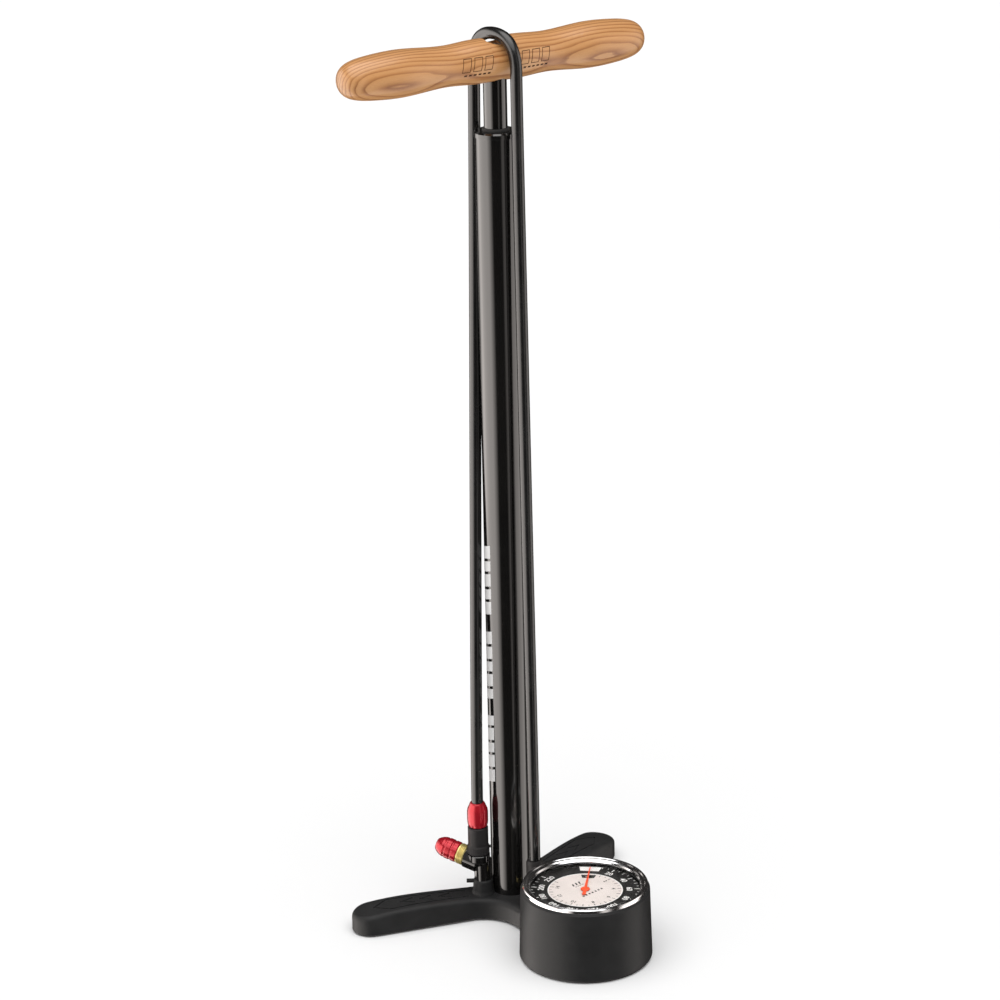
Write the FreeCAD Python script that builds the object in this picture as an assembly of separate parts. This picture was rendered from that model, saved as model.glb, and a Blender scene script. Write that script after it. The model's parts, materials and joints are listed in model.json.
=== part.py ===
"""Floor pump for bicycle tyres: steel barrel, wooden T-handle, three-footed cast base with a large gauge.

Everything is modelled in the pump's own frame, in millimetres: the barrel's axis is the Z axis, the
floor is Z = 0, the handle runs along X and the gauge stands in front, towards -Y. The finished
shapes are then moved by FOOTPRINT_SHIFT, so that the exported origin is the middle of the footprint.
"""

import FreeCAD, Part
import math
import os

from FreeCAD import Vector

# ---------------------------------------------------------------- driving dimensions
BARREL_R = 14.3
BARREL_WALL = 1.3
BARREL_FOOT_Z = 8.0
BARREL_TOP_Z = 571.0
BORE_R = BARREL_R - BARREL_WALL

CAP_R = 14.9
CAP_TOP_Z = 575.0
CAP_SKIRT_Z = 548.0

ROD_R = 8.0
ROD_WALL = 1.2

HANDLE_Z = 623.0
HANDLE_HALF = 121.0
HANDLE_PROFILE = [(0, 14.8), (20, 14.7), (38, 13.7), (74, 15.7), (97, 14.8), (110, 12.9), (116, 10.6),
                  (119.4, 7.4), (120.8, 3.7)]
GROOVE_HALF = 10.0
GROOVE_FLOOR_R = 12.6
GROOVE_CORNER = 2.0

LEG_REACH = 105.0
LEG_TIP_R = 14.0
LEG_SHANK = 11.8
LEG_SPREAD = 72.0
ARM_HALF = 17.0
PLAN_FILLET = 28.0
LEG_TOP_Z = 17.6
PAD_THICKNESS = 3.0
PAD_SINK = 1.5
PAD_R = 10.0
HUB_TOP_Z = 17.0
HUB_R = 18.5
UNDERSIDE_Z = 2.0
BARB_BOSS_Z = 21.4
PEDESTAL_Z = 28.0

GAUGE_REACH = 91.0
STEM_OFFSET = 31.0
DUCT_Z = 5.4
SHROUD_FOOT_R = 46.8
SHROUD_TOP_R = 45.4
SHROUD_TOP_Z = 52.5
CASE_R = 41.6
CASE_TOP_Z = 49.4
BEZEL_R = 44.0
BEZEL_TOP_Z = 55.4
BEZEL_SEAT_Z = 49.9
DIAL_R = 40.2
DIAL_Z = 49.0
DIAL_ZERO = 48.0
NEEDLE_Z = DIAL_Z + 0.5
BOURDON_R = 33.0
BOURDON_Z = 20.0

HOSE_R = 4.15
HOSE_START = (0.0, -30.0, 50.0)
ARCH_Z = 640.0
DOCK = (-24.0, 6.0)
DOCK_TOP_Z = 48.5
POST = (-21.0, 5.2)
POST_R = 6.2
CUP_R = 8.2
CHUCK_R = 7.3
CHUCK_RING_R = 8.0
RING_TOP_Z = DOCK_TOP_Z + 7.3
FERRULE_Z = 70.0
FERRULE_TOP_Z = 88.5
BUTTON_HEADING = -35.0
BUTTON_Z = DOCK_TOP_Z + 5.2
BUTTON_R = 1.1
HOSE_ROUTE = [
    HOSE_START,
    (0.0, -30.0, 95.0),
    (2.7, -21.0, 592.0),
    (2.7, -21.5, ARCH_Z),
    (-1.5, 22.4, ARCH_Z),
    (-1.5, 22.2, 592.0),
    (DOCK[0], DOCK[1], 128.0),
    (DOCK[0], DOCK[1], FERRULE_TOP_Z),
]
ARC_SHARE = 0.45

ADAPTER_HEADING = 123.2
ADAPTER_RISE = 15.6
ADAPTER_ROOT_Z = 42.0
BOSS_END = 10.6
COLLAR_END = 16.0
MOUTH_END = 33.4
MOUTH_R = 3.1
MOUTH_DEPTH = 11.0

PISTON_FOOT_Z = 27.0

SECTOR_TEETH = 108
PINION_TEETH = 12
GEAR_MODULE = 0.4
MESH_Z = 30.0

RUNNING = 0.05

GAUGE = (0.0, -GAUGE_REACH)
SECTOR_R = GEAR_MODULE * SECTOR_TEETH / 2
PINION_R = GEAR_MODULE * PINION_TEETH / 2
SECTOR_PIVOT = (GAUGE[0] + SECTOR_R + PINION_R, GAUGE[1])
LINK_ARM = 6.0
LINK_HEADING = math.radians(-75)
LINK_PIN = (SECTOR_PIVOT[0] + LINK_ARM * math.cos(LINK_HEADING), SECTOR_PIVOT[1] + LINK_ARM * math.sin(LINK_HEADING))
LEG_BACK = LEG_REACH * math.cos(math.radians(LEG_SPREAD)) + LEG_TIP_R
FOOTPRINT_SHIFT = Vector(0, (GAUGE_REACH + SHROUD_FOOT_R - LEG_BACK) / 2, 0)


# ---------------------------------------------------------------- helpers
def disc(radius, z0, z1, at=(0, 0)):
    """Upright cylinder from z0 to z1."""
    return Part.makeCylinder(radius, z1 - z0, Vector(at[0], at[1], z0))


def ring(outer, inner, z0, z1, at=(0, 0)):
    """Upright tube from z0 to z1."""
    return disc(outer, z0, z1, at).cut(disc(inner, z0 - 1, z1 + 1, at))


def turned(profile, at=(0, 0)):
    """Solid of revolution about a vertical axis, from (radius, z) corners."""
    corners = [Vector(r, 0, z) for r, z in profile]
    face = Part.Face(Part.makePolygon(corners + corners[:1]))
    solid = face.revolve(Vector(0, 0, 0), Vector(0, 0, 1), 360)
    solid.translate(Vector(at[0], at[1], 0))
    return solid


def bar(a, b, radius):
    """Round bar between two points."""
    a, b = Vector(*a), Vector(*b)
    return Part.makeCylinder(radius, (b - a).Length, a, b - a)


def prism(sides, across_flats, z0, z1, at=(0, 0), turn=0.0):
    """Upright regular prism."""
    corner = across_flats / 2 / math.cos(math.pi / sides)
    points = []
    for i in range(sides):
        a = math.radians(turn) + 2 * math.pi * i / sides
        points.append(Vector(at[0] + corner * math.cos(a), at[1] + corner * math.sin(a), z0))
    return Part.Face(Part.makePolygon(points + points[:1])).extrude(Vector(0, 0, z1 - z0))


def plate(points, z0, z1):
    """Flat plate with a straight-sided outline of (x, y) corners."""
    corners = [Vector(x, y, z0) for x, y in points]
    return Part.Face(Part.makePolygon(corners + corners[:1])).extrude(Vector(0, 0, z1 - z0))


def fuse(first, *others):
    """One solid from several that touch."""
    return first.fuse(list(others)).removeSplitter() if others else first


def polar(radius, degrees, at=(0, 0)):
    """Point on a circle, as (x, y)."""
    a = math.radians(degrees)
    return at[0] + radius * math.cos(a), at[1] + radius * math.sin(a)


def o_ring(section, radius, z, at=(0, 0)):
    """Round-section ring lying flat, its outside at the given radius."""
    return Part.makeTorus(radius - section, section, Vector(at[0], at[1], z))


def helix_spring(radius, wire, z0, z1, turns, at=(0, 0)):
    """Coil spring of round wire between two heights."""
    rise = z1 - z0 - 2 * wire
    spine = Part.makeHelix(rise / turns, rise, radius)
    section = Part.Wire(Part.makeCircle(wire, Vector(radius, 0, 0), Vector(0, 1, 0)))
    coil = Part.Wire(spine).makePipeShell([section], True, True)
    coil.translate(Vector(at[0], at[1], z0 + wire))
    return coil


def aim(shape, at, heading, rise):
    """Turns a shape built along +Z so that its axis points along a heading and rise, in degrees."""
    shape.rotate(Vector(0, 0, 0), Vector(0, 1, 0), 90 - rise)
    shape.rotate(Vector(0, 0, 0), Vector(0, 0, 1), heading)
    shape.translate(Vector(*at))
    return shape


# ---------------------------------------------------------------- base
def leg_bar():
    """Straight bar with a round tip, as wide as one leg, along +X."""
    root, tip, length = LEG_SHANK, LEG_TIP_R, LEG_REACH
    upper = Part.makeLine(Vector(0, root, 0), Vector(length, tip, 0))
    end = Part.Arc(Vector(length, tip, 0), Vector(length + tip, 0, 0), Vector(length, -tip, 0)).toShape()
    lower = Part.makeLine(Vector(length, -tip, 0), Vector(0, -root, 0))
    back = Part.makeLine(Vector(0, -root, 0), Vector(0, root, 0))
    return Part.Face(Part.Wire([upper, end, lower, back])).extrude(Vector(0, 0, 40))


def on_both_legs(shape):
    """Two copies of a shape made along +X, one turned to each leg."""
    pair = []
    for heading in (90 - LEG_SPREAD, 90 + LEG_SPREAD):
        copy = shape.copy()
        copy.rotate(Vector(0, 0, 0), Vector(0, 0, 1), heading)
        pair.append(copy)
    return pair


def star_block():
    """Straight-sided block in the casting's plan, its three inner corners filleted."""
    arm = plate([(-ARM_HALF, 0), (-ARM_HALF, -76), (ARM_HALF, -76), (ARM_HALF, 0)], 0, 40)
    block = arm.fuse(on_both_legs(leg_bar())).removeSplitter()
    corners = []
    for edge in block.Edges:
        foot = edge.Vertexes[0]
        if edge.BoundBox.ZLength > 39 and math.hypot(foot.X, foot.Y) < 40:
            corners.append(edge)
    return block.makeFillet(PLAN_FILLET, corners)


def smooth(points):
    """Spline through (radius, z) points, level at its first point."""
    curve = Part.BSplineCurve()
    curve.interpolate([Vector(r, 0, z) for r, z in points], InitialTangent=Vector(1, 0, 0))
    return curve.toShape()


def star_height(drop=0.0):
    """Solid of revolution that gives the casting its sloping top and arched underside."""
    reach = LEG_REACH + LEG_TIP_R + 2
    sole = PAD_THICKNESS - PAD_SINK
    crown, edge = HUB_TOP_Z - drop, LEG_TOP_Z - 4.0 - drop
    edges = [
        smooth([(0, crown), (28, crown), (LEG_REACH - 12, LEG_TOP_Z - drop), (reach, edge)]),
        Part.makeLine(Vector(reach, 0, edge), Vector(reach, 0, sole)),
        Part.makeLine(Vector(reach, 0, sole), Vector(84, 0, sole)),
        smooth([(0, UNDERSIDE_Z), (33, UNDERSIDE_Z), (64, UNDERSIDE_Z - 0.25), (84, sole)]),
        Part.makeLine(Vector(0, 0, UNDERSIDE_Z), Vector(0, 0, crown)),
    ]
    solid = Part.Face(Part.Wire(Part.sortEdges(edges)[0])).revolve(Vector(0, 0, 0), Vector(0, 0, 1), 360)
    solid.rotate(Vector(0, 0, 0), Vector(0, 0, 1), -90)
    return solid


def upper_rim(solid):
    """Edges where the casting's top meets its upright sides."""
    rim = []
    for edge in solid.Edges:
        middle = edge.valueAt((edge.FirstParameter + edge.LastParameter) / 2)
        if middle.z < 12 or edge.BoundBox.ZLength > 6:
            continue
        faces = solid.ancestorsOfType(edge, Part.Face)
        if any(abs(f.normalAt(*f.Surface.parameter(middle)).z) < 0.05 for f in faces):
            rim.append(edge)
    return rim


def grip_pattern():
    """Plan of the grip ribs on one leg along +X: a frame line and three chevrons."""
    frame_line = [(34, 5.2), (92, 7.6), (103, 0), (92, -7.6), (34, -5.2)]
    strokes = list(zip(frame_line, frame_line[1:]))
    for x in (46, 60, 74):
        strokes += [((x, 3.4), (x + 9, 0)), ((x + 9, 0), (x, -3.4))]
    return [stroke_prism(a, b, 0.7) for a, b in strokes]


def strap(a, b, half_width, z0, z1):
    """Straight plate of even width between two points."""
    dx, dy = b[0] - a[0], b[1] - a[1]
    n = math.hypot(dx, dy)
    nx, ny = -dy / n * half_width, dx / n * half_width
    corners = [(a[0] + nx, a[1] + ny), (a[0] - nx, a[1] - ny), (b[0] - nx, b[1] - ny), (b[0] + nx, b[1] + ny)]
    return plate(corners, z0, z1)


def stroke_prism(a, b, half_width):
    """Tall narrow prism along one straight stroke of a pattern, with round ends."""
    blade = strap(a, b, half_width, 8, 30)
    return blade.fuse([disc(half_width, 8, 30, a), disc(half_width, 8, 30, b)])


def grip_grooves(depth=0.8):
    """Shallow grooves that follow the top of both legs."""
    pattern = grip_pattern()
    whole = pattern[0].fuse(pattern[1:])
    return on_both_legs(whole.cut(star_height(depth)))


def base_casting():
    """Hub, two foot legs, gauge arm and dock pedestal as one casting, with its air duct."""
    star = star_block().common(star_height())
    star = star.makeFillet(4.0, upper_rim(star))
    hub = disc(HUB_R, UNDERSIDE_Z + 0.8, HUB_TOP_Z - 0.6)
    hub = hub.makeFillet(3.0, [e for e in hub.Edges if e.BoundBox.ZMin > HUB_TOP_Z - 2])
    platform = disc(41.4, 2.2, 8.0, GAUGE)
    pedestal = turned([(0, 8), (9.4, 8), (8.4, HUB_TOP_Z + 0.4), (7.6, HUB_TOP_Z + 2.5), (7.0, PEDESTAL_Z - 0.8),
                       (6.2, PEDESTAL_Z), (0, PEDESTAL_Z)], POST)
    boss_profile = [(0, 8), (8.4, 8), (8.4, BARB_BOSS_Z - 1.4), (7.4, BARB_BOSS_Z), (0, BARB_BOSS_Z)]
    barb_boss = turned(boss_profile, HOSE_START[:2])
    body = fuse(star, hub, platform, pedestal, barb_boss)
    duct_end = (0, -GAUGE_REACH + STEM_OFFSET)
    body = body.fuse(bar((0, 0, DUCT_Z), (*duct_end, DUCT_Z), 3.4))
    duct = [bar((0, 0, DUCT_Z), (*duct_end, DUCT_Z), 1.4), disc(1.4, DUCT_Z, BARREL_FOOT_Z + 1),
            disc(1.4, DUCT_Z, 15, HOSE_START[:2]), disc(1.4, DUCT_Z, 9, duct_end)]
    bores = duct + [disc(BARREL_R + RUNNING, BARREL_FOOT_Z, HUB_TOP_Z + 10), disc(4.05, 14, 24, HOSE_START[:2]),
                    disc(2.05, 14, 31, POST), disc(CASE_R + 0.1, 8.0, 60, GAUGE), bar(*dock_pin_line(2.9), 1.52)]
    pockets = [disc(PAD_R + 0.1, -1, PAD_THICKNESS, at) for at in foot_places()]
    holes = [disc(2.1, 0, 10, at) for at in case_screw_places()]
    return body.cut(bores + pockets + holes + grip_grooves())


def foot_places():
    """Centres of the three rubber feet."""
    return [polar(LEG_REACH, 90 - LEG_SPREAD), polar(LEG_REACH, 90 + LEG_SPREAD), (0, -GAUGE_REACH - 26)]


def foot_pads():
    """Three round rubber feet."""
    pads = []
    for at in foot_places():
        pad = disc(PAD_R, 0, PAD_THICKNESS - 0.02, at)
        pads.append(pad.makeChamfer(0.5, [e for e in pad.Edges if e.BoundBox.ZMax < 0.1]))
    return Part.makeCompound(pads)


def case_screw_places():
    """Three screws that hold the gauge down on the platform."""
    return [polar(25, a, GAUGE) for a in (30, 150, 235)]


def case_screws():
    """Pan-head screws driven up through the platform."""
    screws = []
    for at in case_screw_places():
        head = disc(3.4, 0.9, 2.15, at).cut(prism(6, 2.5, 0, 1.8, at))
        screws.append(fuse(head, disc(2.0, 2.15, 14, at)))
    return Part.makeCompound(screws)


# ---------------------------------------------------------------- barrel
def barrel_tube():
    """Steel cylinder."""
    return ring(BARREL_R, BORE_R, BARREL_FOOT_Z + 0.02, BARREL_TOP_Z)


def barrel_cap():
    """Screwed cap with a thin flange on the tube's end."""
    cap = turned([(0, CAP_SKIRT_Z), (BORE_R - 0.06, CAP_SKIRT_Z), (BORE_R - 0.06, BARREL_TOP_Z + 0.02),
                  (CAP_R, BARREL_TOP_Z + 0.02), (CAP_R, CAP_TOP_Z - 1.0), (CAP_R - 1.0, CAP_TOP_Z), (0, CAP_TOP_Z)])
    return cap.cut([disc(ROD_R + 0.2, 500, 600), disc(11.0, CAP_SKIRT_Z + 2, CAP_TOP_Z - 7),
                    disc(9.3, CAP_TOP_Z - 5, 600), groove_for(BORE_R + 1, 1.9, CAP_SKIRT_Z + 8, BORE_R - 1.6)])


def groove_for(outer, width, z, floor_radius):
    """Ring-shaped cutter for a seal groove."""
    return ring(outer, floor_radius, z - width / 2, z + width / 2)


def cap_seal():
    """Rubber ring between cap and tube."""
    return o_ring(0.75, BORE_R - 0.04, CAP_SKIRT_Z + 8)


def rod_guide():
    """Plain bearing that the rod runs in."""
    return ring(10.95, ROD_R + RUNNING, CAP_SKIRT_Z + 2.02, CAP_TOP_Z - 7.02)


def rod_wiper():
    """Lipped wiper in the cap's mouth."""
    lip = turned([(ROD_R + 0.08, CAP_TOP_Z - 4.95), (9.25, CAP_TOP_Z - 4.95), (9.25, CAP_TOP_Z + 0.9),
                  (8.8, CAP_TOP_Z + 1.9), (ROD_R + 0.08, CAP_TOP_Z + 1.9)])
    return lip


def foot_plug():
    """Valve plug that closes the barrel's lower end."""
    foot = BARREL_FOOT_Z + 0.02
    plug = turned([(0, foot), (BORE_R - 0.05, foot), (BORE_R - 0.05, 25), (BORE_R - 1, 26), (0, 26)])
    seat = turned([(0, 20.9), (3.6, 20.9), (1.5, 23.0), (0, 23.0)])
    return plug.cut([disc(3.6, 0, 21), disc(1.5, 0, 30), seat, groove_for(BORE_R + 1, 1.9, 16, BORE_R - 1.6)])


def foot_seal():
    """Rubber ring on the valve plug."""
    return o_ring(0.75, BORE_R - 0.04, 16)


def check_ball():
    """Ball that closes the plug's seat from below."""
    return Part.makeSphere(2.5, Vector(0, 0, 20.9))


def check_spring():
    """Light spring under the ball."""
    return helix_spring(1.7, 0.3, BARREL_FOOT_Z + 0.1, 18.5, 6)


# ---------------------------------------------------------------- plunger
def piston_rod():
    """Hollow steel rod."""
    return ring(ROD_R, ROD_R - ROD_WALL, PISTON_FOOT_Z + 12.05, HANDLE_Z + 6)


def piston_head():
    """Piston with a ring groove and a spigot that screws into the rod."""
    z = PISTON_FOOT_Z
    head = turned([(0, z), (BORE_R - 0.8, z), (BORE_R - 0.3, z + 1), (BORE_R - 0.3, z + 12), (6.7, z + 12),
                   (6.7, z + 22), (0, z + 22)])
    ring_groove = groove_for(BORE_R + 1, 2.8, z + 6, BORE_R - 2.3)
    return head.cut([ring_groove, disc(2.05, z - 1, z + 16), disc(4.2, z - 1, z + 3.2)])


def piston_seal():
    """Rubber ring that seals the piston in the bore."""
    return o_ring(1.1, BORE_R - RUNNING, PISTON_FOOT_Z + 6)


def piston_screw():
    """Socket screw that locks the piston head to the rod."""
    z = PISTON_FOOT_Z
    head = disc(3.9, z + 0.2, z + 3.1).cut(prism(6, 2.5, z - 1, z + 2))
    return fuse(head, disc(2.0, z + 3.1, z + 15))


def bump_stop():
    """Rubber buffer on the rod, above the piston head."""
    z = PISTON_FOOT_Z + 12.1
    inner, outer = ROD_R + 0.05, BORE_R - 1.2
    return turned([(inner, z), (outer, z), (outer, z + 6.5), (outer - 1.5, z + 8.4), (inner, z + 8.4)])


def handle():
    """Turned wooden handle with a hose groove round its middle and a bore for the rod."""
    right = [Vector(x, 0, r) for x, r in HANDLE_PROFILE] + [Vector(HANDLE_HALF, 0, 0)]
    left = [Vector(-p.x, 0, p.z) for p in reversed(right[1:])]
    outline = Part.BSplineCurve()
    outline.interpolate(left + right)
    axis = Part.makeLine(Vector(HANDLE_HALF, 0, 0), Vector(-HANDLE_HALF, 0, 0))
    body = Part.Face(Part.Wire([outline.toShape(), axis])).revolve(Vector(0, 0, 0), Vector(1, 0, 0), 360)
    if body.Volume < 0:
        body.reverse()
    body = body.cut(hose_groove())
    body.translate(Vector(0, 0, HANDLE_Z))
    bores = [disc(ROD_R + 0.03, 500, HANDLE_Z + 6.02), disc(3.05, 500, 700), disc(7.0, HANDLE_Z + 7.0, 700)]
    return body.cut(bores)


def hose_groove():
    """Round-cornered channel over the top of a handle on the X axis, down its front and back."""
    c, half, floor_r, outer = GROOVE_CORNER, GROOVE_HALF, GROOVE_FLOOR_R, 24.0
    cut_back = c * (1 - math.sqrt(0.5))
    low, high = floor_r, floor_r + c
    left_middle = Vector(-half + cut_back, 0, low + cut_back)
    right_middle = Vector(half - cut_back, 0, low + cut_back)
    left_arc = Part.Arc(Vector(-half, 0, high), left_middle, Vector(-half + c, 0, low))
    right_arc = Part.Arc(Vector(half - c, 0, low), right_middle, Vector(half, 0, high))
    wire = Part.Wire([
        Part.makeLine(Vector(-half, 0, outer), Vector(-half, 0, high)),
        left_arc.toShape(),
        Part.makeLine(Vector(-half + c, 0, low), Vector(half - c, 0, low)),
        right_arc.toShape(),
        Part.makeLine(Vector(half, 0, high), Vector(half, 0, outer)),
        Part.makeLine(Vector(half, 0, outer), Vector(-half, 0, outer)),
    ])
    cutter = Part.Face(wire)
    cutter.rotate(Vector(0, 0, 0), Vector(1, 0, 0), -75)
    return cutter.revolve(Vector(0, 0, 0), Vector(1, 0, 0), 150)


def rod_insert():
    """Threaded insert in the top of the rod."""
    return ring(ROD_R - ROD_WALL - 0.02, 2.55, HANDLE_Z - 18, HANDLE_Z + 5.9)


def handle_bolt():
    """Socket-head bolt that clamps the handle to the rod, its head in the hose groove."""
    head_z = HANDLE_Z + 7.05
    head = disc(5.2, head_z, head_z + 2.6).cut(prism(6, 4, head_z + 1, head_z + 4))
    return fuse(head, disc(2.5, HANDLE_Z - 16, head_z))


# ---------------------------------------------------------------- hose and its fittings
def hose_path():
    """Straight runs joined by tangent arcs, each as large as its two runs allow."""
    points = [Vector(*p) for p in HOSE_ROUTE]
    edges, start = [], points[0]
    for before, corner, after in zip(points, points[1:], points[2:]):
        a, b = (before - corner), (after - corner)
        reach = ARC_SHARE * min(a.Length, b.Length)
        a.normalize()
        b.normalize()
        turn = math.pi - a.getAngle(b)
        radius = reach / math.tan(turn / 2)
        middle = (a + b).normalize()
        first, last = corner + a * reach, corner + b * reach
        centre_gap = math.hypot(radius, reach)
        edges.append(Part.makeLine(start, first))
        edges.append(Part.Arc(first, corner + middle * (centre_gap - radius), last).toShape())
        start = last
    edges.append(Part.makeLine(start, points[-1]))
    return Part.Wire(edges)


def hose():
    """Rubber hose, from the base over the handle to the docked chuck."""
    heading = Vector(*HOSE_ROUTE[1]) - Vector(*HOSE_ROUTE[0])
    section = Part.Wire(Part.makeCircle(HOSE_R, Vector(*HOSE_ROUTE[0]), heading))
    return hose_path().makePipeShell([section], True, False)


def hose_barb():
    """Brass barb screwed into the hub, hidden in the lower ferrule."""
    x, y, top = HOSE_START
    barbs = []
    for z in (28, 33, 38):
        barbs += [(2.4, z), (3.2, z), (2.4, z + 4)]
    nut = [(0, 14.1), (4.0, 14.1), (4.0, 21.5), (6.6, 21.5), (6.6, 24.8), (2.4, 24.8)]
    profile = nut + barbs + [(2.4, top - 6), (0, top - 6)]
    return turned(profile, (x, y)).cut(disc(1.2, 10, 70, (x, y)))


def lower_ferrule():
    """Crimped sleeve where the hose leaves the hub."""
    x, y, top = HOSE_START
    return turned([(3.4, 24.9), (6.2, 24.9), (6.2, 35), (5.7, 36), (5.7, 38), (6.2, 39), (6.2, top - 2),
                   (5.4, top - 0.05), (3.4, top - 0.05)], (x, y))


def chuck_ferrule():
    """Barrel-shaped red clamp nut on the hose's free end."""
    z0, z1 = FERRULE_Z, FERRULE_TOP_Z
    profile = [(5.0, z0), (6.2, z0), (6.9, z0 + 0.8), (7.35, z0 + 2.4), (7.55, z0 + 5), (7.55, z0 + 11.5),
               (7.2, z0 + 13.6), (5.5, z1 - 0.9), (5.1, z1 - 0.25), (4.7, z1 - 0.05), (3.0, z1 - 0.05),
               (3.0, z0 + 3), (5.0, z0 + 3)]
    return turned(profile, DOCK)


def swivel_tail():
    """Brass tail that joins the hose to the chuck and lets the chuck turn."""
    z = FERRULE_Z
    tail = turned([(0, z - 4.5), (3.4, z - 4.5), (3.4, z - 3.0), (2.2, z - 3.0), (2.2, z + 3.3), (2.8, z + 3.3),
                   (2.8, z + 16), (0, z + 16)], DOCK)
    return tail.cut(disc(1.0, z - 10, z + 20, DOCK))


def chuck_body():
    """Chuck housing that turns on the swivel tail."""
    z0, z1 = RING_TOP_Z + 0.05, FERRULE_Z - 0.3
    body = turned([(0, z0), (CHUCK_R, z0), (CHUCK_R, z1 - 0.6), (CHUCK_R - 0.6, z1), (0, z1)], DOCK)
    z = FERRULE_Z
    hollow = turned([(0, z - 4.9), (3.7, z - 4.9), (3.7, z - 2.6), (2.25, z - 2.6), (2.25, z + 1), (0, z + 1)],
                    DOCK)
    return body.cut([disc(4.1, 40, DOCK_TOP_Z + 13.3, DOCK), disc(1.0, 40, 80, DOCK), hollow])


def chuck_ring():
    """Grooved finger ring round the chuck's mouth."""
    z0, z1 = DOCK_TOP_Z + 0.35, RING_TOP_Z
    rim = CHUCK_RING_R
    body = turned([(0, z0), (rim - 0.6, z0), (rim, z0 + 0.7), (rim, z1 - 1.2), (CHUCK_R, z1), (0, z1)], DOCK)
    flutes = [disc(0.4, z0 - 1, z1 + 1, polar(rim + 0.2, 15 * i, DOCK)) for i in range(24)]
    return body.cut([disc(4.1, 40, 80, DOCK), button_bore()] + flutes)


def chuck_seal():
    """Rubber bush at the bottom of the chuck's socket."""
    return ring(4.05, 1.4, DOCK_TOP_Z + 11.2, DOCK_TOP_Z + 13.2, DOCK)


def button_bore():
    """Cross hole for the bleed button."""
    return button_bar(5.2, 12, BUTTON_R + 0.06)


def button_bar(inner, outer, radius):
    """Level bar on the button's heading, between two distances from the chuck's axis."""
    near = polar(inner, BUTTON_HEADING, DOCK)
    far = polar(outer, BUTTON_HEADING, DOCK)
    return bar((*near, BUTTON_Z), (*far, BUTTON_Z), radius)


def bleed_button():
    """Small push button that lets trapped air out of the hose."""
    return button_bar(6.2, 8.9, BUTTON_R)


def chuck_dock():
    """Post with the cup that the chuck parks in, and a slanted boss for the spare adapter."""
    z = DOCK_TOP_Z
    post = disc(POST_R, PEDESTAL_Z + 0.02, z - 5, POST)
    cup = turned([(0, z - 9), (4.5, z - 9), (CUP_R - 0.6, z - 5.6), (CUP_R, z - 4.6), (CUP_R, z - 0.4), (CUP_R - 0.4, z),
                  (7.4, z), (7.2, z - 0.5), (0, z - 0.5)], DOCK)
    hexagon = prism(6, 15.0, 0, BOSS_END, turn=30)
    rounding = turned([(0, 0), (8.2, 0), (8.2, BOSS_END - 1.0), (7.2, BOSS_END), (0, BOSS_END)])
    boss = aim(hexagon.common(rounding), adapter_root(), ADAPTER_HEADING, ADAPTER_RISE)
    boss = boss.cut([disc(CHUCK_RING_R + 0.25, z - 0.5, z + 20, DOCK), disc(9.4, z + 3.4, z + 20, DOCK)])
    stud_hole = aim(disc(4.05, 4.9, 16), adapter_root(), ADAPTER_HEADING, ADAPTER_RISE)
    return fuse(post, cup, boss).cut([stud_hole, disc(2.05, 0, 36, POST), disc(3.0, z - 3.02, z, DOCK)])


def dock_spigot():
    """Dummy valve stem pressed into the cup; it holds the parked chuck."""
    z = DOCK_TOP_Z
    return turned([(0, z - 3.0), (2.96, z - 3.0), (2.96, z - 0.48), (3.85, z - 0.48), (3.85, z + 9.5), (3.2, z + 10.6),
                   (0, z + 10.6)], DOCK)


def adapter_root():
    """Point on the dock's axis that the adapter's own axis starts from."""
    return DOCK[0], DOCK[1], ADAPTER_ROOT_Z


def dock_screw():
    """Headless screw that holds the dock on its pedestal."""
    return disc(2.0, 14.1, 35.9, POST)


def dock_pin_line(start):
    """Ends of the cross pin's axis, from a distance off the post's axis."""
    z = PEDESTAL_Z - 1.8
    return (*polar(start, 146, POST), z), (*polar(12.0, 146, POST), z)


def dock_pin():
    """Cross pin that stops the dock from turning; its end stands out beside the pedestal."""
    return bar(*dock_pin_line(3.0), 1.5)


def along_adapter(profile):
    """Turned piece on the adapter's slanted axis."""
    return aim(turned(profile), adapter_root(), ADAPTER_HEADING, ADAPTER_RISE)


def adapter_shank():
    """Brass shank that holds the spare adapter in the dock's boss."""
    return along_adapter([(3.0, 5.0), (4.0, 5.0), (4.0, BOSS_END - 0.02), (3.0, BOSS_END - 0.02)])


def adapter_thread():
    """Threaded brass collar outside the boss."""
    crests = [(3.0, BOSS_END), (7.1, BOSS_END)]
    for i in range(4):
        z = BOSS_END + 0.5 + 1.15 * i
        crests += [(7.6, z + 0.2), (7.6, z + 0.5), (7.1, z + 0.8)]
    crests += [(7.1, COLLAR_END), (3.0, COLLAR_END)]
    return along_adapter(crests)


def adapter_sleeve():
    """Red slip-on chuck with finger ribs, a round nose and a mouth for the tyre valve."""
    z, end = COLLAR_END, MOUTH_END
    ribs = [(2.0, z + 0.1), (7.2, z + 0.1), (7.6, z + 0.8), (7.6, z + 3.8), (7.2, z + 4.4), (7.2, z + 5.2),
            (7.6, z + 5.8), (7.6, z + 8.8), (7.15, z + 9.4), (7.15, z + 10.2)]
    nose = [(7.35, z + 10.8), (7.0, z + 12.4), (6.3, z + 14.2), (5.3, z + 15.9), (4.3, z + 17.0), (3.8, end)]
    mouth = [(MOUTH_R, end), (MOUTH_R, end - MOUTH_DEPTH), (2.0, end - MOUTH_DEPTH)]
    return along_adapter(ribs + nose + mouth)


def adapter_seal():
    """Rubber grommet behind the adapter's mouth."""
    return along_adapter([(1.3, 18.6), (1.95, 18.6), (1.95, 22.0), (1.3, 22.0)])


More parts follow.
